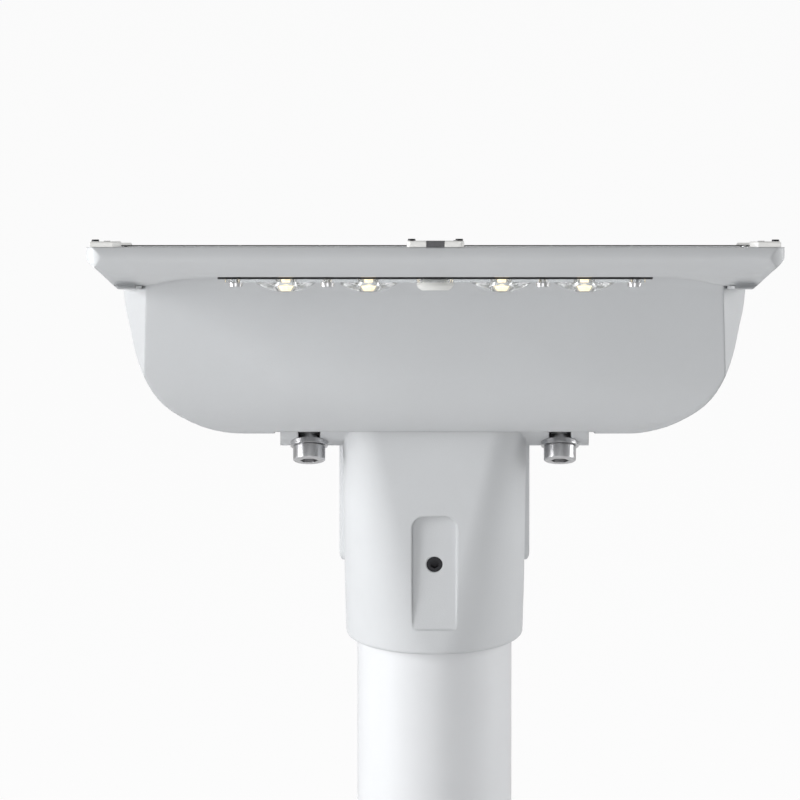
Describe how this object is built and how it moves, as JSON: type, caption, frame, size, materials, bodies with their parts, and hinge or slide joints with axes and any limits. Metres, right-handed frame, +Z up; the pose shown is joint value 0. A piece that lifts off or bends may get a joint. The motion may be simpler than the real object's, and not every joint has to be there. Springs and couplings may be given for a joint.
{
  "type": "solar street lamp",
  "caption": "Solar street lamp head with a panel on top and an LED module underneath, tilting on a slip-fitter over a round pole.",
  "frame": {"origin": "centre of the lower end of the pole stub", "axes": "+Z up the pole, -Y towards the lit front of the lamp, +X to the right seen from the front"},
  "size_m": [0.3346, 0.6776, 0.571],
  "materials": {
    "powder_coat": "satin",
    "pole_paint": "gloss",
    "stainless": "satin",
    "brass": "satin",
    "silicone": "matte",
    "white_sheet": "matte",
    "cell_blue": "gloss",
    "glass": "gloss",
    "black_plastic": "matte",
    "white_plastic": "matte",
    "grey_plastic": "matte",
    "circuit_board": "matte",
    "led_glow": "gloss",
    "clear_lens": "gloss",
    "cell_wrap": "gloss"
  },
  "bodies": {
    "pole": {"pole_tube": "pole_paint"},
    "adapter": {"pole_adapter": "powder_coat", "set_screws": "stainless"},
    "button": {"button_cap": "stainless"},
    "head": {"main_housing": "powder_coat", "clamp_inserts": "brass", "clamp_washers": "stainless", "clamp_screws": "stainless", "panel_seal": "silicone", "panel_backsheet": "white_sheet", "solar_cells": "cell_blue", "cell_ribbons": "stainless", "panel_glass": "glass", "junction_box": "black_plastic", "corner_clips": "white_plastic", "edge_clips": "white_plastic", "edge_clip_keys": "grey_plastic", "clip_screws": "stainless", "led_board": "circuit_board", "led_emitters": "led_glow", "lens_gasket": "silicone", "lens_plate": "clear_lens", "lens_screws": "stainless", "sensor_lens": "white_plastic", "motion_sensor": "black_plastic", "battery_bracket": "stainless", "bracket_screws": "stainless", "battery_cells": "cell_wrap", "battery_holder_left": "black_plastic", "battery_holder_right": "black_plastic", "battery_divider": "black_plastic", "battery_busbars": "stainless", "battery_board": "circuit_board", "controller_case": "black_plastic", "controller_lid": "black_plastic", "controller_board": "circuit_board", "controller_screws": "stainless", "led_cable": "black_plastic", "panel_cable": "black_plastic", "battery_cable": "black_plastic", "button_seal": "silicone", "button_body": "stainless", "button_nut": "stainless", "button_spring": "stainless", "vent_plug": "black_plastic", "vent_nut": "black_plastic"}
  },
  "joints": [
    {"name": "pole_swivel", "type": "hinge", "parent": "pole", "child": "adapter", "pos_m": [0, 0, 0.25], "axis": [0, 0, 1], "continuous": true},
    {"name": "head_tilt", "type": "hinge", "parent": "adapter", "child": "head", "pos_m": [0, 0, 0.4054], "axis": [-1, 0, 0], "range_deg": [0, 15]},
    {"name": "button_press", "type": "slide", "parent": "head", "child": "button", "axis": [0, -0.2917, 0.9565], "range_m": [0, 0.0015]}
  ]
}
